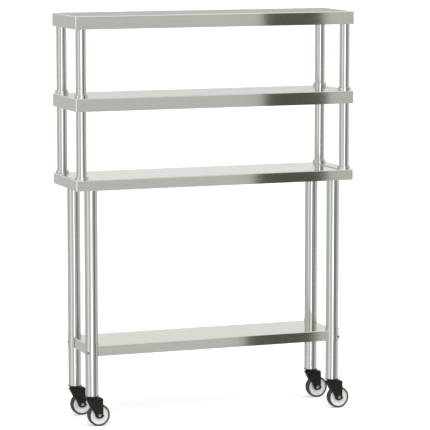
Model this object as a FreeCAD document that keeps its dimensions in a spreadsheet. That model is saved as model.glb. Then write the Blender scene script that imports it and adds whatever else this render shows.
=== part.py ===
import FreeCAD, Part
import math
import os
import re

import Sketcher

# Steel island cart: a table with one lower shelf on four round legs and four
# swivel castors, and a two-tier overshelf that stands on the table top on four
# slimmer posts.
#
# Frame: +X to the right along the shelves, -Y to the front, +Z up. The origin is
# on the floor, under the middle of the cart.

os.makedirs("parts", exist_ok=True)
doc = FreeCAD.newDocument("island_cart")

# Driving dimensions in millimetres.
DIMENSIONS = {
    # outline
    "shelf_length": 1200,
    "shelf_depth": 320,
    "table_height": 1010,
    "tier_rise": 327.5,
    # folded sheet of the shelf pans
    "sheet": 1.5,
    "shelf_apron": 52.5,
    "table_apron": 43,
    "lower_apron": 42.5,
    "lip_width": 7,
    "fold_radius": 3,
    "corner_radius": 3,
    # lower shelf between the legs
    "lower_height": 332.5,
    "lower_length": 1081,
    "lower_depth": 270,
    # stiffening channels under the sheets
    "channel_sheet": 1.2,
    "channel_width": 60,
    "channel_drop": 20,
    "channel_flange": 15,
    "channel_inset": 60,
    # legs and the sockets that hold them
    "leg_radius": 26.5,
    "leg_x": 527.5,
    "leg_y": 117,
    "leg_foot": 126,
    "tube_wall": 1.5,
    "gap": 0.3,
    "socket_wall": 3,
    "socket_drop": 32,
    "socket_plate": 70,
    "plate_sheet": 3,
    # sleeves that hold the lower shelf to the legs
    "sleeve_wall": 1.5,
    "sleeve_size": 54,
    "sleeve_rise": 9.5,
    "screw_level": 17,
    # overshelf posts
    "post_radius": 21,
    "post_side": 30,
    "post_inset": 28,
    "bar_sheet": 3,
    "bar_radius": 28,
    "collar_radius": 27.5,
    "foot_collar_size": 10,
    "tier_collar_size": 14,
    "collar_round": 1.5,
    "post_socket_drop": 28,
    "post_plate": 50,
    "plug_size": 18,
    # screws and bolts
    "bolt_radius": 4,
    "bolt_clear": 0.1,
    "bolt_head": 13,
    "bolt_head_size": 5.3,
    "screw_radius": 3,
    "screw_head_radius": 4.5,
    "screw_head_size": 4,
    "hex_key": 2.6,
    # castors
    "wheel_radius": 45,
    "wheel_width": 29,
    "rim_radius": 37.5,
    "tyre_round": 3,
    "trail": 27.3,
    "crown_top": 115,
    "fork_sheet": 2.5,
    "crown_sheet": 3,
    "fork_width": 37,
    "fork_lead": -25,
    "fork_back": 42,
    "hub_lead": 8.5,
    "hub_level": 46,
    "web_end": 81,
    "boss_radius": 19.7,
    "boss_rise": 6.2,
    "boss_chord": 1,
    "fork_round": 6,
    "crown_round": 2,
    "kingpin_radius": 8,
    "running": 0.05,
    "race_radius": 20,
    "race_size": 4.5,
    "swivel_gap": 0.2,
    "stem_radius": 6,
    "stem_size": 40,
    "plug_flange": 3,
    "plug_overhang": 2,
    "axle_radius": 4,
    "bush_radius": 6.5,
    "axle_head_radius": 6.8,
    "axle_head_size": 4,
}

dims = doc.addObject("Spreadsheet::Sheet", "Dims")
for row, (alias, number) in enumerate(DIMENSIONS.items(), start=1):
    dims.set(f"A{row}", alias)
    dims.set(f"B{row}", str(number))
    dims.setAlias(f"B{row}", alias)
doc.recompute()

ALIAS = re.compile(r"\b(" + "|".join(DIMENSIONS) + r")\b")
CORNERS = {"fl": (-1, -1), "fr": (1, -1), "bl": (-1, 1), "br": (1, 1)}
POST_X = "(shelf_length / 2 - post_side)"
POST_Y = "(shelf_depth / 2 - post_inset)"
nodes = []


# --- helpers ---------------------------------------------------------------

def bind(thing, prop, formula):
    """Drive a property from a formula of sheet aliases."""
    thing.setExpression(prop, ALIAS.sub(r"Dims.\1", str(formula)))


def place(thing, x="0", y="0", z="0", turn=0):
    """Bind an object's place, and turn it about its own Z axis by some degrees."""
    thing.Placement.Rotation = FreeCAD.Rotation(FreeCAD.Vector(0, 0, 1), turn)
    bind(thing, "Placement.Base.x", x)
    bind(thing, "Placement.Base.y", y)
    bind(thing, "Placement.Base.z", z)


def signed(sign, formula):
    return f"{sign} * {formula}"


def keep(thing, label):
    """Register a finished object as a node of its own."""
    thing.Label = label
    nodes.append(thing)
    return thing


def new_body(name):
    return doc.addObject("PartDesign::Body", name)


def new_sketch(body, role, level="0"):
    """Sketch on one of the body's origin planes, lifted along the plane's normal."""
    plane = next(item for item in body.Origin.OriginFeatures if item.Role == role)
    sketch = body.newObject("Sketcher::SketchObject", body.Name + "_sketch")
    sketch.AttachmentSupport = [(plane, "")]
    sketch.MapMode = "FlatFace"
    bind(sketch, "AttachmentOffset.Base.z", level)
    return sketch


def fix_point(sketch, geometry, point, across, up):
    """Hold a sketch point at a place given by two formulas."""
    here = sketch.getPoint(geometry, point)
    for kind, now, formula in (("DistanceX", here.x, across), ("DistanceY", here.y, up)):
        index = sketch.addConstraint(Sketcher.Constraint(kind, -1, 1, geometry, point, now))
        bind(sketch, f"Constraints[{index}]", formula)


def add_circle(sketch, radius, across="0", up="0"):
    circle = Part.Circle(FreeCAD.Vector(1, 1, 0), FreeCAD.Vector(0, 0, 1), 1)
    geometry = sketch.addGeometry(circle, False)
    index = sketch.addConstraint(Sketcher.Constraint("Radius", geometry, 1.0))
    bind(sketch, f"Constraints[{index}]", radius)
    fix_point(sketch, geometry, 3, across, up)


def add_outline(sketch, points):
    """Closed outline of straight lines through points given as formula pairs."""
    count = len(points)
    first = sketch.GeometryCount
    ring = [FreeCAD.Vector(math.cos(2 * math.pi * i / count), math.sin(2 * math.pi * i / count), 0)
            for i in range(count)]
    for i in range(count):
        sketch.addGeometry(Part.LineSegment(ring[i], ring[(i + 1) % count]), False)
    for i in range(count):
        following = first + (i + 1) % count
        sketch.addConstraint(Sketcher.Constraint("Coincident", first + i, 2, following, 1))
    for i, (across, up) in enumerate(points):
        fix_point(sketch, first + i, 1, across, up)


def add_rectangle(sketch, wide, tall):
    """Rectangle centred on the sketch's origin."""
    half_wide = f"({wide}) / 2"
    half_tall = f"({tall}) / 2"
    add_outline(sketch, [(signed(a, half_wide), signed(b, half_tall))
                         for a, b in ((-1, -1), (1, -1), (1, 1), (-1, 1))])


def pad(body, sketch, length, down=False, both=False):
    feature = body.newObject("PartDesign::Pad", body.Name + "_pad")
    feature.Profile = sketch
    feature.Reversed = down
    feature.Midplane = both
    bind(feature, "Length", length)
    return feature


def pocket(body, sketch, length, forward=False, both=False):
    """Cut away from the sketch's normal, or along it when forward is set."""
    before = solid_volume(body)
    feature = body.newObject("PartDesign::Pocket", body.Name + "_pocket")
    feature.Profile = sketch
    feature.Reversed = forward
    feature.Midplane = both
    bind(feature, "Length", length)
    if solid_volume(body) >= before:
        raise ValueError(f"{feature.Name} cuts nothing")
    return feature


def solid_volume(body):
    doc.recompute()
    return body.Shape.Volume


def turned(name, role, points):
    """Body turned from an outline about the sketch's vertical axis."""
    body = new_body(name)
    sketch = new_sketch(body, role)
    add_outline(sketch, points)
    feature = body.newObject("PartDesign::Revolution", name + "_turning")
    feature.Profile = sketch
    feature.ReferenceAxis = (sketch, ["V_Axis"])
    feature.Angle = 360
    return body


def round_edges(body, radius, wanted):
    """Fillet the edges of the body's last feature that pass a test."""
    doc.recompute()
    base = body.Tip
    edges = [f"Edge{i}" for i, edge in enumerate(base.Shape.Edges, start=1) if wanted(edge)]
    if not edges:
        raise ValueError(f"{body.Name} has no such edge to round")
    feature = body.newObject("PartDesign::Fillet", body.Name + "_fillet")
    feature.Base = (base, edges)
    bind(feature, "Radius", radius)
    return feature


def near(value, target):
    return abs(value - target) < 1e-3


def lies_at(edge, level):
    """True for an edge that lies in the horizontal plane at that height."""
    box = edge.BoundBox
    return near(box.ZMin, level) and near(box.ZMax, level)


def is_upright(edge):
    box = edge.BoundBox
    return near(box.XLength, 0) and near(box.YLength, 0)


def is_leading(edge):
    """Sloping edge down the leading side of a fork's solid block."""
    box = edge.BoundBox
    return near(box.YLength, 0) and min(box.XLength, box.ZLength) > 20


def is_crown_side(edge):
    """Straight edge along a side of a fork's crown."""
    box = edge.BoundBox
    return near(box.YLength, 0) and box.XLength > 20 and lies_at(edge, DIMENSIONS["crown_top"])


def is_inside_web(edge):
    """Sloping inner corner between a fork's web and a cheek."""
    box = edge.BoundBox
    inside = DIMENSIONS["fork_width"] / 2 - DIMENSIONS["fork_sheet"]
    return (near(box.YLength, 0) and near(abs(box.YMin), inside)
            and min(box.XLength, box.ZLength) > 8 and box.ZMin > DIMENSIONS["web_end"] - 1)


def cylinder(name, radius, height, x="0", y="0", z="0"):
    thing = doc.addObject("Part::Cylinder", name)
    bind(thing, "Radius", radius)
    bind(thing, "Height", height)
    place(thing, x, y, z)
    return thing


def hexagon(name, across_flats, height, z="0"):
    """Six-sided prism given by its size across flats."""
    thing = doc.addObject("Part::Prism", name)
    thing.Polygon = 6
    bind(thing, "Circumradius", f"({across_flats}) / sqrt(3)")
    bind(thing, "Height", height)
    place(thing, z=z)
    return thing


def join(name, *pieces):
    thing = doc.addObject("Part::MultiFuse", name)
    thing.Shapes = list(pieces)
    return thing


def cut(name, base, tool):
    thing = doc.addObject("Part::Cut", name)
    thing.Base = base
    thing.Tool = tool
    return thing


def group(label, pieces):
    """Several separate pieces that share one node."""
    thing = doc.addObject("Part::Compound", label)
    thing.Links = pieces
    return keep(thing, label)


# --- shelf pans and their channels --------------------------------------------

def pan(label, length, depth, apron, height):
    """Folded sheet tray, open below, with a narrow lip turned in at its foot."""
    body = new_body(label)
    outline = new_sketch(body, "XY_Plane")
    add_rectangle(outline, length, depth)
    pad(body, outline, apron, down=True)
    round_edges(body, "corner_radius", is_upright)
    round_edges(body, "fold_radius", lambda edge: lies_at(edge, 0))
    cavity = new_sketch(body, "XY_Plane", "-sheet")
    add_rectangle(cavity, f"{length} - 2 * sheet", f"{depth} - 2 * sheet")
    pocket(body, cavity, f"{apron} - 2 * sheet")
    mouth = new_sketch(body, "XY_Plane", "-sheet")
    add_rectangle(mouth, f"{length} - 2 * lip_width", f"{depth} - 2 * lip_width")
    pocket(body, mouth, apron)
    place(body, z=height)
    return keep(body, label)


def pierce_at_corners(body, radius, x, y, length):
    """Four round holes down from the pan's upper face."""
    sketch = new_sketch(body, "XY_Plane")
    for a, b in CORNERS.values():
        add_circle(sketch, radius, signed(a, x), signed(b, y))
    pocket(body, sketch, length)


def channel(label, length, height):
    """Hat-section channel that stiffens a sheet from below."""
    body = new_body(label)
    half = "channel_width / 2"
    inner = f"({half} - channel_sheet)"
    edge = f"({half} + channel_flange)"
    profile = [
        (f"-{edge}", "0"), (f"-{inner}", "0"), (f"-{inner}", "channel_sheet - channel_drop"),
        (inner, "channel_sheet - channel_drop"), (inner, "0"), (edge, "0"),
        (edge, "-channel_sheet"), (half, "-channel_sheet"), (half, "-channel_drop"),
        (f"-{half}", "-channel_drop"), (f"-{half}", "-channel_sheet"), (f"-{edge}", "-channel_sheet"),
    ]
    sketch = new_sketch(body, "YZ_Plane")
    add_outline(sketch, profile)
    pad(body, sketch, length, both=True)
    place(body, z=f"{height} - sheet")
    return keep(body, label)


MIDDLE_HEIGHT = "(table_height + tier_rise)"
TOP_HEIGHT = "(table_height + 2 * tier_rise)"

table_top = pan("table_top", "shelf_length", "shelf_depth", "table_apron", "table_height")
pierce_at_corners(table_top, "bolt_radius + bolt_clear", POST_X, POST_Y, "2 * sheet")
middle_shelf = pan("middle_shelf", "shelf_length", "shelf_depth", "shelf_apron", MIDDLE_HEIGHT)
pierce_at_corners(middle_shelf, "bolt_radius + bolt_clear", POST_X, POST_Y, "2 * sheet")
pan("top_shelf", "shelf_length", "shelf_depth", "shelf_apron", TOP_HEIGHT)
lower_shelf = pan("lower_shelf", "lower_length", "lower_depth", "lower_apron", "lower_height")
SLEEVE_RADIUS = "(leg_radius + gap + sleeve_wall)"
pierce_at_corners(lower_shelf, f"{SLEEVE_RADIUS} + gap", "leg_x", "leg_y", "2 * lower_apron")

for label, length, height in (
        ("table_channel", "shelf_length", "table_height"),
        ("middle_channel", "shelf_length", MIDDLE_HEIGHT),
        ("top_channel", "shelf_length", TOP_HEIGHT),
        ("lower_channel", "lower_length", "lower_height")):
    channel(label, f"{length} - 2 * channel_inset", height)


# --- tubes, sockets, sleeves and collars ----------------------------------------

def tube(label, radius, bore, size, x, y, z):
    body = new_body(label)
    sketch = new_sketch(body, "XY_Plane")
    add_circle(sketch, radius)
    add_circle(sketch, bore)
    pad(body, sketch, size)
    place(body, x, y, z)
    return keep(body, label)


def socket(name, tube_radius, plate, drop):
    """Square plate with a round cup hanging from it, drilled for a grub screw at +X."""
    body = new_body(name)
    base = new_sketch(body, "XY_Plane")
    add_rectangle(base, plate, plate)
    pad(body, base, "plate_sheet", down=True)
    cup = new_sketch(body, "XY_Plane", "-plate_sheet")
    add_circle(cup, f"{tube_radius} + gap + socket_wall")
    add_circle(cup, f"{tube_radius} + gap")
    pad(body, cup, drop, down=True)
    drill(body, f"{tube_radius} + 2 * socket_wall", f"-plate_sheet - {drop} / 2")
    return body


def drill(body, reach, level):
    """Screw hole from the body's axis out along +X."""
    sketch = new_sketch(body, "YZ_Plane")
    add_circle(sketch, "screw_radius + bolt_clear", "0", level)
    pocket(body, sketch, reach, forward=True)


for corner, (a, b) in CORNERS.items():
    x, y = signed(a, "leg_x"), signed(b, "leg_y")
    inward = 180 if a > 0 else 0
    outward = math.degrees(math.atan2(b, a))

    tube(f"leg_{corner}", "leg_radius", "leg_radius - tube_wall",
         "table_height - sheet - plate_sheet - leg_foot", x, y, "leg_foot")

    leg_socket = socket(f"leg_socket_{corner}", "leg_radius", "socket_plate", "socket_drop")
    place(leg_socket, x, y, "table_height - sheet", inward)
    keep(leg_socket, f"leg_socket_{corner}")

    sleeve = new_body(f"shelf_sleeve_{corner}")
    ring = new_sketch(sleeve, "XY_Plane")
    add_circle(ring, SLEEVE_RADIUS)
    add_circle(ring, "leg_radius + gap")
    pad(sleeve, ring, "sleeve_size")
    drill(sleeve, f"{SLEEVE_RADIUS} + sleeve_wall", "screw_level")
    place(sleeve, x, y, "lower_height + sleeve_rise - sleeve_size", outward)
    keep(sleeve, f"shelf_sleeve_{corner}")

    x, y = signed(a, POST_X), signed(b, POST_Y)
    tube(f"lower_post_{corner}", "post_radius", "post_radius - tube_wall",
         "tier_rise - bar_sheet - sheet", x, y, "table_height + bar_sheet")
    tube(f"upper_post_{corner}", "post_radius", "post_radius - tube_wall",
         "tier_rise - sheet - plate_sheet", x, y, MIDDLE_HEIGHT)


def collar(name, size, x, y, z):
    """Ring round the foot of a post, its upper rim rounded."""
    body = turned(name, "XZ_Plane", [
        ("post_radius + gap", "0"), ("collar_radius", "0"),
        ("collar_radius", size), ("post_radius + gap", size)])
    round_edges(body, "collar_round",
                lambda edge: lies_at(edge, DIMENSIONS[size]) and edge.BoundBox.XLength > 50)
    place(body, x, y, z)
    return body


foot_collars = []
tier_collars = []
post_sockets = []
for corner, (a, b) in CORNERS.items():
    x, y = signed(a, POST_X), signed(b, POST_Y)
    foot_collars.append(collar(f"foot_collar_{corner}", "foot_collar_size", x, y,
                               "table_height + bar_sheet"))
    tier_collars.append(collar(f"tier_collar_{corner}", "tier_collar_size", x, y, MIDDLE_HEIGHT))
    post_socket = socket(f"post_socket_{corner}", "post_radius", "post_plate", "post_socket_drop")
    place(post_socket, x, y, f"{TOP_HEIGHT} - sheet", 180 if a > 0 else 0)
    post_sockets.append(post_socket)
group("foot_collars", foot_collars)
group("tier_collars", tier_collars)
group("post_sockets", post_sockets)

for side, a in (("left", -1), ("right", 1)):
    bar = new_body(f"foot_bar_{side}")
    web = new_sketch(bar, "XY_Plane")
    add_rectangle(web, "2 * bar_radius", f"2 * {POST_Y}")
    pad(bar, web, "bar_sheet")
    ends = new_sketch(bar, "XY_Plane")
    holes = new_sketch(bar, "XY_Plane", "bar_sheet")
    for b in (-1, 1):
        add_circle(ends, "bar_radius", "0", signed(b, POST_Y))
        add_circle(holes, "bolt_radius + bolt_clear", "0", signed(b, POST_Y))
    pad(bar, ends, "bar_sheet")
    pocket(bar, holes, "2 * bar_sheet")
    place(bar, signed(a, POST_X), z="table_height")
    keep(bar, f"foot_bar_{side}")


# --- plugs, bolts and screws ----------------------------------------------------

def post_plug(name, x, y, z):
    """Round insert that closes a post's end and takes a bolt."""
    body = cylinder(f"{name}_body", "post_radius - tube_wall - gap", "plug_size")
    bore = cylinder(f"{name}_bore", "bolt_radius + bolt_clear", "plug_size")
    plug = cut(name, body, bore)
    place(plug, x, y, z)
    return plug


def foot_bolt(name, x, y, z):
    """Hex bolt that points up, its head's upper face at z."""
    head = hexagon(f"{name}_head", "bolt_head", "bolt_head_size", "-bolt_head_size")
    shank = cylinder(f"{name}_shank", "bolt_radius", "sheet + bar_sheet + plug_size - 2")
    bolt = join(name, head, shank)
    place(bolt, x, y, z)
    return bolt


def side_screw(name, start, length, head):
    """Screw along +X from a start radius, with a hex socket in its outer end."""
    solid = cylinder(f"{name}_shank", "screw_radius", length, z=start)
    face = f"{start} + {length}"
    if head:
        cap = cylinder(f"{name}_head", "screw_head_radius", "screw_head_size", z=face)
        solid = join(f"{name}_solid", solid, cap)
        face = f"{face} + screw_head_size"
    key = hexagon(f"{name}_key", "hex_key", "2", f"{face} - 2")
    upright = cut(f"{name}_upright", solid, key)
    lying = doc.addObject("Part::Compound", f"{name}_lying")
    lying.Links = [upright]
    lying.Placement.Rotation = FreeCAD.Rotation(FreeCAD.Vector(0, 1, 0), 90)
    return lying


def aimed(name, piece, x, y, z, turn):
    thing = doc.addObject("Part::Compound", name)
    thing.Links = [piece]
    place(thing, x, y, z, turn)
    return thing


plugs = []
foot_bolts = []
tier_studs = []
sleeve_screws = []
socket_screws = []
for corner, (a, b) in CORNERS.items():
    x, y = signed(a, POST_X), signed(b, POST_Y)
    inward = 180 if a > 0 else 0
    outward = math.degrees(math.atan2(b, a))
    levels = {
        "foot": "table_height + bar_sheet",
        "head": f"{MIDDLE_HEIGHT} - sheet - plug_size",
        "tier": MIDDLE_HEIGHT,
    }
    plugs += [post_plug(f"{where}_plug_{corner}", x, y, z) for where, z in levels.items()]
    foot_bolts.append(foot_bolt(f"foot_bolt_{corner}", x, y, "table_height - sheet"))
    tier_studs.append(cylinder(f"tier_stud_{corner}", "bolt_radius", "2 * plug_size + sheet - 4",
                               x, y, f"{MIDDLE_HEIGHT} - sheet - plug_size + 2"))
    sleeve_screws.append(aimed(
        f"sleeve_screw_{corner}",
        side_screw(f"sleeve_screw_part_{corner}", "leg_radius", "gap + sleeve_wall", head=True),
        signed(a, "leg_x"), signed(b, "leg_y"),
        "lower_height + sleeve_rise - sleeve_size + screw_level", outward))
    socket_screws.append(aimed(
        f"leg_screw_{corner}",
        side_screw(f"leg_screw_part_{corner}", "leg_radius", "gap + socket_wall + 1", head=False),
        signed(a, "leg_x"), signed(b, "leg_y"),
        "table_height - sheet - plate_sheet - socket_drop / 2", inward))
    socket_screws.append(aimed(
        f"post_screw_{corner}",
        side_screw(f"post_screw_part_{corner}", "post_radius", "gap + socket_wall + 1", head=False),
        x, y, f"{TOP_HEIGHT} - sheet - plate_sheet - post_socket_drop / 2", inward))
group("post_plugs", plugs)
group("foot_bolts", foot_bolts)
group("tier_studs", tier_studs)
group("sleeve_screws", sleeve_screws)
group("socket_screws", socket_screws)


# --- castors ----------------------------------------------------------------------

RACE_FOOT = "(crown_top + swivel_gap)"
RACE_TOP = f"({RACE_FOOT} + race_size)"
RIVET_TOP = "(crown_top - crown_sheet - swivel_gap)"


def leg_plug(name, x, y):
    """Insert in the leg's foot: a flange that tapers down to the race, and a bore for the stem."""
    plug = turned(name, "XZ_Plane", [
        ("stem_radius + gap", RACE_TOP), ("race_radius", RACE_TOP),
        ("leg_radius + plug_overhang", "leg_foot - plug_flange"),
        ("leg_radius + plug_overhang", "leg_foot"), ("leg_radius - tube_wall - gap", "leg_foot"),
        ("leg_radius - tube_wall - gap", "leg_foot + stem_size"),
        ("stem_radius + gap", "leg_foot + stem_size")])
    place(plug, x, y)
    return plug


def stem(name, x, y):
    """Threaded stem, upper race and riveted kingpin, all in one turned piece."""
    piece = turned(name, "XZ_Plane", [
        ("0", f"{RIVET_TOP} - 4"), ("kingpin_radius + 4", f"{RIVET_TOP} - 4"),
        ("kingpin_radius + 4", RIVET_TOP), ("kingpin_radius", RIVET_TOP),
        ("kingpin_radius", RACE_FOOT), ("race_radius", RACE_FOOT),
        ("race_radius", RACE_TOP), ("stem_radius", RACE_TOP),
        ("stem_radius", "leg_foot + stem_size"), ("0", "leg_foot + stem_size")])
    place(piece, x, y)
    return piece


group("leg_plugs", [leg_plug(f"leg_plug_{corner}", signed(a, "leg_x"), signed(b, "leg_y"))
                    for corner, (a, b) in CORNERS.items()])
group("castor_stems", [stem(f"castor_stem_{corner}", signed(a, "leg_x"), signed(b, "leg_y"))
                       for corner, (a, b) in CORNERS.items()])


def web_face(drop):
    """Formula for the X of the web's inner face, at a drop below the crown's top."""
    slope = "((hub_lead - fork_lead) / (crown_top - hub_level))"
    return f"fork_lead + fork_sheet * sqrt(1 + {slope} ^ 2) + {slope} * ({drop})"


def fork(label, x, y):
    """Pressed fork: two cheeks, a crown over the wheel and a web down the leading side."""
    body = new_body(label)
    cheek = new_sketch(body, "XZ_Plane")
    add_outline(cheek, [
        ("fork_lead", "crown_top"), ("hub_lead", "hub_level"), ("trail", "wheel_radius"),
        ("fork_back", "wheel_radius"), ("fork_back", "crown_top - crown_sheet"),
        ("fork_back - crown_sheet", "crown_top")])
    pad(body, cheek, "fork_width", both=True)
    round_edges(body, "fork_round", is_leading)
    round_edges(body, "crown_round", is_crown_side)
    boss = new_sketch(body, "XZ_Plane")
    add_circle(boss, "boss_radius", "trail", "wheel_radius + boss_rise")
    pad(body, boss, "fork_width", both=True)
    chord = "wheel_radius + boss_chord"
    behind = "trail + 2 * boss_radius"
    above_boss = new_sketch(body, "XZ_Plane")
    add_outline(above_boss, [("fork_back", chord), (behind, chord),
                             (behind, "2 * wheel_radius"), ("fork_back", "2 * wheel_radius")])
    pocket(body, above_boss, "2 * fork_width", both=True)
    hollow = new_sketch(body, "XZ_Plane")
    add_outline(hollow, [
        ("2 * fork_lead", "web_end"), (web_face("crown_top - web_end"), "web_end"),
        (web_face("crown_sheet"), "crown_top - crown_sheet"),
        ("2 * fork_back", "crown_top - crown_sheet"), ("2 * fork_back", "0"),
        ("2 * fork_lead", "0")])
    pocket(body, hollow, "fork_width - 2 * fork_sheet", both=True)
    round_edges(body, "fork_round - fork_sheet", is_inside_web)
    axle_hole = new_sketch(body, "XZ_Plane")
    add_circle(axle_hole, "axle_radius + bolt_clear", "trail", "wheel_radius")
    pocket(body, axle_hole, "2 * fork_width", both=True)
    pin_hole = new_sketch(body, "XY_Plane", "crown_top")
    add_circle(pin_hole, "kingpin_radius + running")
    pocket(body, pin_hole, "2 * crown_sheet")
    place(body, x, y)
    return keep(body, label)


def axle(label, x, y):
    """Axle bolt through both cheeks, with its nut as a second solid."""
    cheek = "fork_width / 2"
    bolt = turned(f"{label}_bolt", "XY_Plane", [
        ("0", f"-{cheek} - axle_head_size"), ("axle_head_radius - 1", f"-{cheek} - axle_head_size"),
        ("axle_head_radius", f"-{cheek} - axle_head_size + 1"), ("axle_head_radius", f"-{cheek}"),
        ("axle_radius", f"-{cheek}"), ("axle_radius", f"{cheek} + 8"), ("0", f"{cheek} + 8")])
    block = hexagon(f"{label}_block", "bolt_head", "6", cheek)
    bore = cylinder(f"{label}_bore", "axle_radius + bolt_clear", "3 * fork_width", z="0")
    nut = cut(f"{label}_nut_upright", block, bore)
    nut.Placement.Rotation = FreeCAD.Rotation(FreeCAD.Vector(1, 0, 0), -90)
    both = group(label, [bolt, nut])
    place(both, x, y, "wheel_radius")


def rim(label, x, y):
    """Dished wheel core with a hub and a flat bed for the tyre."""
    hub = "(wheel_width / 2 + 0.5)"
    bed = "(wheel_width / 2 - 2)"
    dish = "(wheel_width / 2 - 5)"
    inner = "(rim_radius - 5)"
    profile = [("bush_radius + bolt_clear", hub), ("bush_radius + 5", hub), ("bush_radius + 7", dish),
               (inner, f"{dish} + 1"), (f"{inner} + 1.5", bed), ("rim_radius", bed)]
    mirrored = [(r, f"-({w})") for r, w in reversed(profile)]
    body = turned(label, "XY_Plane", profile + mirrored)
    place(body, x, y, "wheel_radius")
    return keep(body, label)


def tyre(label, x, y):
    half = "wheel_width / 2"
    body = turned(label, "XY_Plane", [
        ("rim_radius + bolt_clear", f"-{half}"), ("wheel_radius", f"-{half}"),
        ("wheel_radius", half), ("rim_radius + bolt_clear", half)])
    outside = 2 * float(dims.wheel_radius) - 1
    round_edges(body, "tyre_round", lambda edge: edge.BoundBox.ZLength > outside and edge.BoundBox.YLength < 1)
    place(body, x, y, "wheel_radius")
    return keep(body, label)


bush_end = "(fork_width / 2 - fork_sheet - swivel_gap)"
for corner, (a, b) in CORNERS.items():
    x, y = signed(a, "leg_x"), signed(b, "leg_y")
    hub_x = f"{x} + trail"
    fork(f"fork_{corner}", x, y)
    axle(f"axle_{corner}", hub_x, y)
    rim(f"rim_{corner}", hub_x, y)
    tyre(f"tyre_{corner}", hub_x, y)
    bush = turned(f"bush_{corner}", "XY_Plane", [
        ("axle_radius + running", f"-{bush_end}"), ("bush_radius", f"-{bush_end}"),
        ("bush_radius", bush_end), ("axle_radius + running", bush_end)])
    place(bush, hub_x, y, "wheel_radius")
    keep(bush, f"bush_{corner}")


# --- check and export ---------------------------------------------------------------

doc.recompute()
for thing in doc.Objects:
    if {"Invalid", "Error"} & set(thing.State):
        raise ValueError(f"{thing.Name} is {thing.State}")
for node in nodes:
    if node.Shape.isNull() or not node.Shape.isValid():
        raise ValueError(f"{node.Label} has no valid shape")
    node.Shape.exportStep(f"parts/{node.Label}.step")
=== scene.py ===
import math

import bpy
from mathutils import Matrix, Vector

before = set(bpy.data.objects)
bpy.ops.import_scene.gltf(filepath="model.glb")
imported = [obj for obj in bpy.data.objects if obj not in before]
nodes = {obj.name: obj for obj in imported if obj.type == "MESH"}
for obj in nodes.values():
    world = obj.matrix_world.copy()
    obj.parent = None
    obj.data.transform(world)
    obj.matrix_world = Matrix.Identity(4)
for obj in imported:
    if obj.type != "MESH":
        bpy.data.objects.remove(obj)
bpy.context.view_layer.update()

scene = bpy.context.scene


# Node graph helper

class Graph:
    """A material or world node tree that is built from the shader backwards."""

    def __init__(self, tree):
        self.tree = tree
        self.tree.nodes.clear()

    def add(self, kind, settings=None, **inputs):
        node = self.tree.nodes.new(kind)
        for key, value in (settings or {}).items():
            setattr(node, key, value)
        for key, value in inputs.items():
            self.feed(node.inputs[self.socket(node, key)], value)
        return node

    @staticmethod
    def socket(node, key):
        if key[0] == "_":
            return int(key[1:])
        names = {s.name.replace(" ", "_"): i for i, s in reversed(list(enumerate(node.inputs)))}
        return names[key]

    def feed(self, socket, value):
        if isinstance(value, bpy.types.NodeSocket):
            self.tree.links.new(value, socket)
        elif isinstance(value, bpy.types.Node):
            self.tree.links.new(value.outputs[0], socket)
        else:
            socket.default_value = value

    def math(self, operation, a, b=0.0):
        return self.add("ShaderNodeMath", {"operation": operation}, _0=a, _1=b).outputs[0]

    def ramp(self, factor, stops):
        node = self.add("ShaderNodeValToRGB", Fac=factor)
        elements = node.color_ramp.elements
        while len(elements) > 1:
            elements.remove(elements[-1])
        for i, (position, level) in enumerate(stops):
            element = elements[0] if i == 0 else elements.new(position)
            element.position = position
            element.color = grey(level) if isinstance(level, (int, float)) else (*level, 1.0)
        return node.outputs[0]

    def span(self, value, low, high, to_low=0.0, to_high=1.0, smooth=False):
        settings = {"interpolation_type": "SMOOTHSTEP" if smooth else "LINEAR", "clamp": True}
        node = self.add("ShaderNodeMapRange", settings, _0=value, _1=low, _2=high, _3=to_low, _4=to_high)
        return node.outputs[0]

    def blend(self, factor, a, b):
        return self.add("ShaderNodeMix", {"data_type": "RGBA"}, _0=factor, _6=a, _7=b).outputs[2]

    def noise(self, vector, scale, detail, roughness):
        return self.add("ShaderNodeTexNoise", Vector=vector, Scale=scale, Detail=detail,
                        Roughness=roughness).outputs[0]

    def stretch(self, vector, scale):
        return self.add("ShaderNodeVectorMath", {"operation": "MULTIPLY"}, _0=vector, _1=scale).outputs[0]


def grey(level):
    return (level, level, level, 1.0)


def new_material(name):
    material = bpy.data.materials.new(name)
    material.use_nodes = True
    return material, Graph(material.node_tree)


def close_material(graph, **inputs):
    shader = graph.add("ShaderNodeBsdfPrincipled", **inputs)
    graph.add("ShaderNodeOutputMaterial", Surface=shader)


def own_place(graph):
    return graph.add("ShaderNodeTexCoord").outputs["Object"]


def normal_parts(graph):
    normal = graph.add("ShaderNodeNewGeometry").outputs["Normal"]
    parts = graph.add("ShaderNodeSeparateXYZ", Vector=normal)
    return [graph.math("ABSOLUTE", parts.outputs[i]) for i in range(3)]


def fold_share(graph, across_x, across_y, up):
    """1 along the middle of a rounded fold or corner, 0 on the flat faces beside it.

    The three inputs are the absolute parts of the surface normal.
    """
    pairs = [graph.math("MULTIPLY", a, b) for a, b in ((across_x, across_y), (across_y, up), (across_x, up))]
    both = graph.math("ADD", graph.math("ADD", pairs[0], pairs[1]), pairs[2])
    return graph.span(both, 0.10, 0.45)


def edge_share(graph, radius):
    """1 on a convex or concave edge, falling to 0 a radius away from it."""
    soft = graph.add("ShaderNodeBevel", {"samples": 4}, Radius=radius).outputs[0]
    hard = graph.add("ShaderNodeNewGeometry").outputs["Normal"]
    turn = graph.add("ShaderNodeVectorMath", {"operation": "DOT_PRODUCT"}, _0=soft, _1=hard).outputs[1]
    return graph.span(graph.math("SUBTRACT", 1.0, turn), 0.02, 0.30)


# Materials

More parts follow.
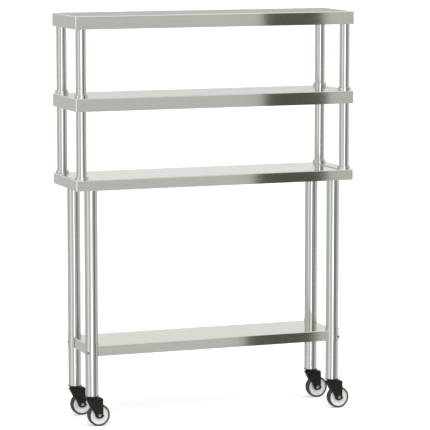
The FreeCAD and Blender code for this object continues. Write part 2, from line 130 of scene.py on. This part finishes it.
STEEL = (0.565, 0.562, 0.520)
FITTING_STEEL = (0.56, 0.555, 0.52)
TUBE_DARK = (0.532, 0.556, 0.520)
TUBE_LIGHT = (0.572, 0.597, 0.560)
FADED_STEEL = (0.44, 0.43, 0.40, 1.0)
# Painted highlight: the light colour laid along the rounded folds and corners of the sheet
FOLD_HIGHLIGHT_STEEL = (0.92, 0.92, 0.88, 1.0)
BRIGHT_EDGE = (0.78, 0.78, 0.76, 1.0)
# Share of the roughness that is left on faces that look up, which wiping has polished
POLISH_ON_TOP = 0.4


def sheet_material(name, tint, roughness, fine, long_way):
    """Brushed stainless sheet: the grain runs along X, and along Y on the end faces."""
    material, graph = new_material(name)
    place = own_place(graph)
    across_x, across_y, up = normal_parts(graph)
    along = graph.stretch(place, (long_way, fine, fine))
    on_ends = graph.stretch(place, (fine, long_way, fine))
    turned = graph.span(across_x, 0.6, 0.8)
    grain_place = graph.add("ShaderNodeMix", {"data_type": "VECTOR"},
                            _0=turned, _4=along, _5=on_ends).outputs[1]
    grain = graph.noise(grain_place, 1.0, 4.0, 0.65)
    streak = graph.noise(graph.stretch(grain_place, (0.25, 0.16, 0.16)), 1.0, 3.0, 0.6)
    cloud = graph.noise(place, 5.0, 3.0, 0.55)
    scuff = graph.noise(graph.stretch(place, (9.0, 60.0, 60.0)), 1.0, 5.0, 0.7)
    lines = graph.math("ADD", graph.math("MULTIPLY", grain, 0.5), graph.math("MULTIPLY", streak, 0.5))
    shade = graph.ramp(lines, [(0.30, tuple(c * 0.94 for c in tint)), (0.70, tuple(c * 1.06 for c in tint))])
    colour = graph.blend(graph.span(cloud, 0.35, 0.75, 0.0, 0.05), shade, FADED_STEEL)
    # Painted highlight: the colour is lightened along rounded folds and corners to stand in for their bright
    # reflection
    painted_fold_highlight = graph.math("MULTIPLY", fold_share(graph, across_x, across_y, up), 0.75)
    colour = graph.blend(painted_fold_highlight, colour, FOLD_HIGHLIGHT_STEEL)
    worn = graph.math("ADD", graph.span(grain, 0.2, 0.8, roughness - 0.035, roughness + 0.035),
                      graph.span(scuff, 0.55, 0.8, 0.0, 0.05))
    rough = graph.math("MULTIPLY", worn, graph.span(up, 0.6, 0.9, 1.0, POLISH_ON_TOP))
    bump = graph.add("ShaderNodeBump", Strength=0.06, Distance=0.0002, Height=grain)
    stretch_way = graph.add("ShaderNodeCombineXYZ", X=0.0, Y=up, Z=graph.math("SUBTRACT", 1.0, up))
    close_material(graph, Base_Color=colour, Metallic=1.0, Roughness=rough, Anisotropic=0.9,
                   Tangent=stretch_way, Normal=bump)
    return material


def tube_material():
    """Polished welded tube with a faint lengthwise grain."""
    material, graph = new_material("polished_tube")
    place = own_place(graph)
    grain = graph.noise(graph.stretch(place, (1400.0, 1400.0, 14.0)), 1.0, 3.0, 0.6)
    cloud = graph.noise(graph.stretch(place, (20.0, 20.0, 6.0)), 1.0, 3.0, 0.5)
    colour = graph.ramp(grain, [(0.3, TUBE_DARK), (0.7, TUBE_LIGHT)])
    rough = graph.math("ADD", graph.span(grain, 0.2, 0.8, 0.07, 0.11),
                       graph.span(cloud, 0.4, 0.7, 0.0, 0.03))
    bump = graph.add("ShaderNodeBump", Strength=0.03, Distance=0.0001, Height=grain)
    close_material(graph, Base_Color=colour, Metallic=1.0, Roughness=rough, Normal=bump)
    return material


def turned_material(name, tint, roughness, rings):
    """Turned or plated metal with fine rings round its own axis and lighter, worn edges."""
    material, graph = new_material(name)
    place = own_place(graph)
    grain = graph.noise(graph.stretch(place, rings), 1.0, 3.0, 0.6)
    patch = graph.noise(place, 90.0, 4.0, 0.6)
    shade = graph.ramp(grain, [(0.3, tuple(c * 0.93 for c in tint)), (0.7, tint)])
    worn = graph.blend(graph.math("MULTIPLY", edge_share(graph, 0.0007), 0.35), shade, BRIGHT_EDGE)
    rough = graph.math("ADD", graph.span(grain, 0.2, 0.8, roughness - 0.04, roughness + 0.04),
                       graph.span(patch, 0.5, 0.75, 0.0, 0.08))
    bump = graph.add("ShaderNodeBump", Strength=0.08, Distance=0.0002, Height=grain)
    close_material(graph, Base_Color=worn, Metallic=1.0, Roughness=rough, Normal=bump)
    return material


def moulded_material(name, dark, light, roughness, texture_scale, worn, wear, specular=0.5):
    """Moulded plastic or sprayed paint: fine texture, slow colour drift, edges rubbed lighter."""
    material, graph = new_material(name)
    place = own_place(graph)
    texture = graph.noise(place, texture_scale, 3.0, 0.6)
    drift = graph.noise(place, 45.0, 4.0, 0.6)
    shade = graph.ramp(drift, [(0.3, dark), (0.72, light)])
    painted_fold_highlight = graph.math("MULTIPLY", edge_share(graph, 0.0011),
                        graph.span(drift, 0.35, 0.7, wear * 0.4, wear))
    colour = graph.blend(painted_fold_highlight, shade, (*worn, 1.0))
    rough = graph.math("ADD", graph.span(texture, 0.25, 0.75, roughness - 0.05, roughness + 0.05),
                       graph.span(drift, 0.4, 0.8, 0.0, 0.06))
    bump = graph.add("ShaderNodeBump", Strength=0.12, Distance=0.0003, Height=texture)
    close_material(graph, Base_Color=colour, Roughness=rough, Normal=bump, Specular_IOR_Level=specular)
    return material


tray_steel = sheet_material("brushed_tray", STEEL, 0.155, 1500.0, 7.0)
part_steel = sheet_material("brushed_fittings", FITTING_STEEL, 0.20, 1700.0, 12.0)
tube_steel = tube_material()
collar_steel = turned_material("turned_collar", (0.62, 0.62, 0.60), 0.13, (60.0, 60.0, 2600.0))
bolt_steel = turned_material("plated_fastener", (0.36, 0.36, 0.35), 0.34, (900.0, 60.0, 900.0))
screw_black = turned_material("blackened_screw", (0.12, 0.12, 0.115), 0.30, (900.0, 900.0, 900.0))
bush_brass = turned_material("turned_brass", (0.62, 0.47, 0.23), 0.28, (900.0, 120.0, 900.0))
plug_black = moulded_material("moulded_plug", (0.008, 0.008, 0.007), (0.014, 0.014, 0.012), 0.50, 2600.0,
                              (0.06, 0.06, 0.055), 0.5, specular=0.3)
fork_black = moulded_material("painted_fork", (0.014, 0.014, 0.011), (0.021, 0.021, 0.016), 0.55, 1500.0,
                              (0.10, 0.10, 0.085), 0.5, specular=0.10)
rim_grey = moulded_material("moulded_rim", (0.74, 0.74, 0.72), (0.82, 0.82, 0.80), 0.42, 2200.0,
                            (0.86, 0.86, 0.84), 0.6)
tyre_grey = moulded_material("tyre_rubber", (0.040, 0.041, 0.033), (0.062, 0.063, 0.052), 0.68, 3200.0,
                             (0.11, 0.11, 0.095), 0.6, specular=0.3)


LEGS = ("leg_fl", "leg_fr", "leg_bl", "leg_br")


def finish_for(name):
    """The material for the node of this name."""
    if name in ("table_top", "lower_shelf", "middle_shelf", "top_shelf") or name.endswith("_channel"):
        return tray_steel
    if name.startswith(("leg_socket", "foot_bar")) or name == "post_sockets":
        return part_steel
    if name.startswith(("lower_post", "upper_post", "shelf_sleeve")) or name in LEGS:
        return tube_steel
    if name.endswith("_collars"):
        return collar_steel
    if name in ("sleeve_screws", "socket_screws"):
        return screw_black
    if name in ("leg_plugs", "post_plugs"):
        return plug_black
    if name.startswith("fork_") or name == "castor_stems":
        return fork_black
    if name.startswith("rim_"):
        return rim_grey
    if name.startswith("tyre_"):
        return tyre_grey
    if name.startswith("bush_"):
        return bush_brass
    return bolt_steel


for name, node in nodes.items():
    for holder in node.material_slots:
        holder.material = finish_for(name)


# Studio

# Azimuth in degrees to the right of straight in front, and the panel's brightness
RING = [(-180, 0.78), (-150, 0.74), (-116, 0.67), (-88, 0.86), (-71, 1.45), (-57, 0.84), (-30, 0.84),
        (-21, 0.95), (-18, 2.8), (-3, 2.8), (2, 0.90), (12, 0.80), (24.5, 0.80), (29, 0.25), (45, 0.25),
        (53, 0.62), (82, 0.82), (113, 0.88), (150, 0.80), (180, 0.78)]
RING_PEAK = 2.8
# Elevation at which the ring gives way to the sky, in front and behind, and half the change's width
RING_TOP_FRONT = math.radians(12.5)
RING_TOP_BACK = math.radians(0.5)
RING_EDGE = math.radians(2.0)
# Elevation in degrees, and the brightness of the sky that reflections see above the ring
SKY = [(0, 0.38), (3, 0.47), (4.8, 0.86), (6.6, 0.96), (12, 0.96), (90, 1.10)]
SKY_PEAK = 1.10
SKY_TINT = (SKY_PEAK, SKY_PEAK, SKY_PEAK * 0.97)
# Soft light on the plastics and the floor: its level from the front right and from the back left,
# and the share of it that comes from below
AMBIENT = 1.60
AMBIENT_BEHIND = 0.55
AMBIENT_BELOW = 0.30


def studio_world():
    """White to the camera, panels and sky to the gloss of the metal, and soft light to everything else."""
    world = bpy.data.worlds.new("studio")
    world.use_nodes = True
    scene.world = world
    graph = Graph(world.node_tree)
    way = graph.add("ShaderNodeTexCoord").outputs["Generated"]
    parts = graph.add("ShaderNodeSeparateXYZ", Vector=way)
    x, y, z = parts.outputs
    turn = graph.math("ARCTAN2", x, graph.math("MULTIPLY", y, -1.0))
    share = graph.math("ADD", graph.math("DIVIDE", turn, math.tau), 0.5)
    panels = graph.ramp(share, [((azimuth + 180) / 360, level / RING_PEAK) for azimuth, level in RING])
    ring = graph.add("ShaderNodeVectorMath", {"operation": "SCALE"}, _0=panels, _3=RING_PEAK).outputs[0]
    rise = graph.math("ARCSINE", z)
    dome = graph.ramp(graph.span(rise, 0.0, math.pi / 2),
                      [(elevation / 90, level / SKY_PEAK) for elevation, level in SKY])
    sky = graph.add("ShaderNodeVectorMath", {"operation": "MULTIPLY"}, _0=dome, _1=SKY_TINT).outputs[0]
    top_of_ring = graph.span(y, -0.12, 0.12, RING_TOP_FRONT, RING_TOP_BACK)
    above = graph.span(graph.math("SUBTRACT", rise, top_of_ring), -RING_EDGE, RING_EDGE, smooth=True)
    gloss = graph.blend(above, ring, sky)
    light_path = graph.add("ShaderNodeLightPath")
    forward = graph.span(graph.math("SUBTRACT", x, y), -0.6, 0.9, AMBIENT_BEHIND, AMBIENT, smooth=True)
    level = graph.span(z, -0.35, 0.10, AMBIENT_BELOW, 1.0, smooth=True)
    ambient = graph.math("MULTIPLY", forward, level)
    soft = graph.add("ShaderNodeCombineColor", Red=ambient, Green=ambient, Blue=ambient).outputs[0]
    seen = graph.blend(light_path.outputs["Is Glossy Ray"], soft, gloss)
    shown = graph.blend(light_path.outputs["Is Camera Ray"], seen, grey(1.0))
    graph.add("ShaderNodeOutputWorld", Surface=graph.add("ShaderNodeBackground", Color=shown, Strength=1.0))
    world.cycles.sampling_method = "NONE"


def sheet_object(name, corners):
    """A flat stage sheet with one face."""
    mesh = bpy.data.meshes.new(name)
    mesh.from_pydata(corners, [], [tuple(range(len(corners)))])
    item = bpy.data.objects.new(name, mesh)
    scene.collection.objects.link(item)
    return item


FLOOR_RADIUS = 60.0
FLOOR_STEPS = 96
FLOOR_GLOW = 0.30


def add_floor():
    """A plain pale disc that stays out of the metal's reflections."""
    angles = [math.tau * i / FLOOR_STEPS for i in range(FLOOR_STEPS)]
    rim = [(FLOOR_RADIUS * math.cos(a), FLOOR_RADIUS * math.sin(a), 0.0) for a in angles]
    floor = sheet_object("floor", rim)
    material, graph = new_material("floor_paint")
    speck = graph.noise(own_place(graph), 3.0, 2.0, 0.5)
    colour = graph.ramp(speck, [(0.3, (0.945, 0.945, 0.945)), (0.7, (0.955, 0.955, 0.955))])
    close_material(graph, Base_Color=colour, Roughness=0.9, Specular_IOR_Level=0.0,
                   Emission_Color=grey(1.0), Emission_Strength=FLOOR_GLOW)
    floor.data.materials.append(material)
    floor.visible_glossy = False
    floor.visible_diffuse = False


# Across and up, in metres, round the dark card from its foot
FLAG_OUTLINE = [(0.57, -0.3), (0.925, -0.3), (0.935, 0.1), (0.962, 0.8), (0.963, 1.25), (0.920, 1.95),
                (0.640, 1.95), (0.656, 1.2), (0.606, 0.85), (0.582, 0.1)]
FLAG_Y = -1.30
FLAG_COLOUR = (0.13, 0.13, 0.104, 1.0)


def add_flag(name, y, outline, colour):
    """A dark card, upright and parallel to the front, that only reflections see."""
    flag = sheet_object(name, [(x, y, z) for x, z in outline])
    material, graph = new_material(name + "_cloth")
    glow = graph.add("ShaderNodeEmission", Color=colour, Strength=1.0)
    graph.add("ShaderNodeOutputMaterial", Surface=glow)
    flag.data.materials.append(material)
    for ray in ("camera", "diffuse", "transmission", "volume_scatter", "shadow"):
        setattr(flag, "visible_" + ray, False)


KEY_PLACE = (-3.0, -3.6, 4.2)
KEY_TARGET = (0.0, 0.0, 0.7)
KEY_SIZE = (2.4, 2.4)
KEY_WATTS = 60.0


def add_softbox(name, place, target, size, power):
    """A square lamp that lights the diffuse pieces and shows in no reflection."""
    light = bpy.data.lights.new(name, "AREA")
    light.shape = "RECTANGLE"
    light.size, light.size_y = size
    light.energy = power
    lamp = bpy.data.objects.new(name, light)
    lamp.location = place
    lamp.rotation_euler = (Vector(target) - Vector(place)).to_track_quat("-Z", "Y").to_euler()
    lamp.visible_camera = False
    lamp.visible_glossy = False
    scene.collection.objects.link(lamp)


studio_world()
add_floor()
add_flag("flag_front", FLAG_Y, FLAG_OUTLINE, FLAG_COLOUR)
add_softbox("key_light", KEY_PLACE, KEY_TARGET, KEY_SIZE, KEY_WATTS)


# Camera

# Place in metres, and turn to the right and downward tilt in radians
CAMERA_PLACE = (-3.5618, -9.7525, 2.1916)
CAMERA_YAW = 0.35452
CAMERA_PITCH = 0.13072
LENS_MM = 211.9

camera = bpy.data.objects.new("camera", bpy.data.cameras.new("camera"))
camera.location = CAMERA_PLACE
camera.rotation_euler = (math.pi / 2 - CAMERA_PITCH, 0.0, -CAMERA_YAW)
camera.data.sensor_width = 36.0
camera.data.lens = LENS_MM
camera.data.clip_start, camera.data.clip_end = 0.1, 200.0
scene.collection.objects.link(camera)
scene.camera = camera
scene.view_settings.view_transform = "Standard"
scene.view_settings.look = "None"
